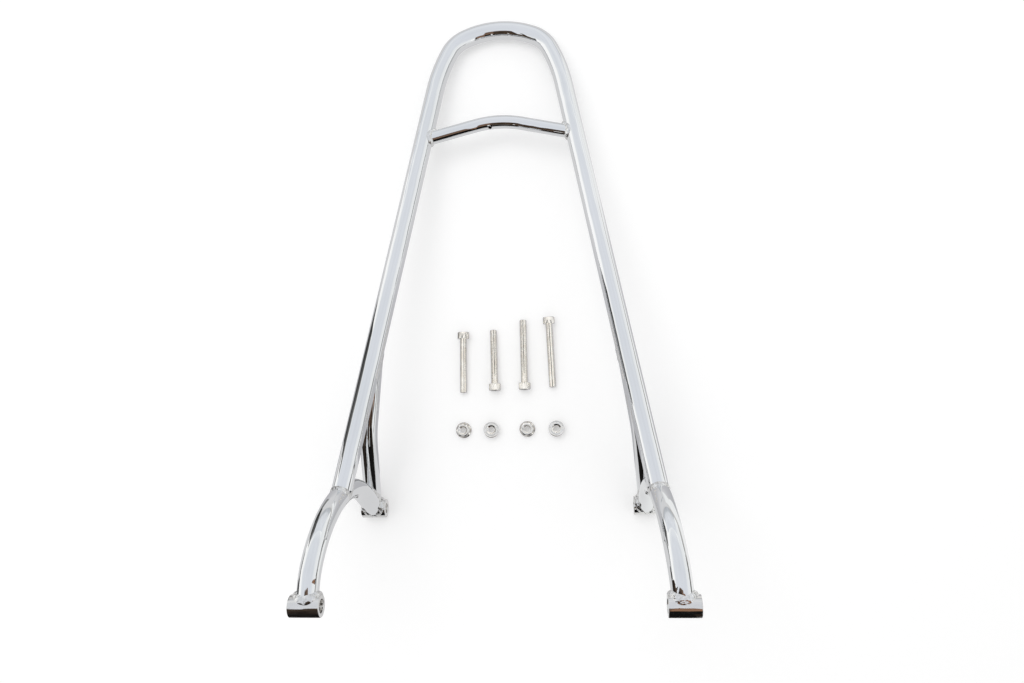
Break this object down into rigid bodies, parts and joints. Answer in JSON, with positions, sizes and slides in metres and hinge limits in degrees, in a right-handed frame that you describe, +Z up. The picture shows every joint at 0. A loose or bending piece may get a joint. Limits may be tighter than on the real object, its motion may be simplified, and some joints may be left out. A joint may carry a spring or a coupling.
{
  "type": "sissy bar",
  "caption": "Motorbike sissy bar: a chromed round-tube hoop with a crossbar, on two arched feet with braces and mounting bushings, with its cap screws and flange nuts.",
  "frame": {"origin": "centre of the bounding box at its base, on the table on which the bar lies", "axes": "+X to the right across the bar and along the bushings' axes, +Y from the front bushings to the hoop's crown, +Z up from the table"},
  "size_m": [0.361, 0.6299, 0.19],
  "materials": {
    "tube_chrome": "mirror chrome",
    "bushing_chrome": "bright chrome",
    "weld_chrome": "chromed weld bead",
    "stainless": "satin stainless steel"
  },
  "bodies": {
    "root": {"hoop_tube": "tube_chrome", "crossbar_tube": "tube_chrome", "left_foot_arch": "tube_chrome", "right_foot_arch": "tube_chrome", "left_brace": "tube_chrome", "right_brace": "tube_chrome", "left_front_bushing": "bushing_chrome", "right_front_bushing": "bushing_chrome", "left_rear_bushing": "bushing_chrome", "right_rear_bushing": "bushing_chrome", "left_crossbar_weld": "weld_chrome", "right_crossbar_weld": "weld_chrome", "left_leg_weld": "weld_chrome", "right_leg_weld": "weld_chrome", "left_brace_top_weld": "weld_chrome", "right_brace_top_weld": "weld_chrome", "left_brace_foot_weld": "weld_chrome", "right_brace_foot_weld": "weld_chrome", "left_front_bushing_weld": "weld_chrome", "right_front_bushing_weld": "weld_chrome", "left_rear_bushing_weld": "weld_chrome", "right_rear_bushing_weld": "weld_chrome", "short_screw_1": "stainless", "short_screw_2": "stainless", "long_screw_1": "stainless", "long_screw_2": "stainless", "flange_nut_1": "stainless", "flange_nut_2": "stainless", "flange_nut_3": "stainless", "flange_nut_4": "stainless"}
  },
  "joints": []
}
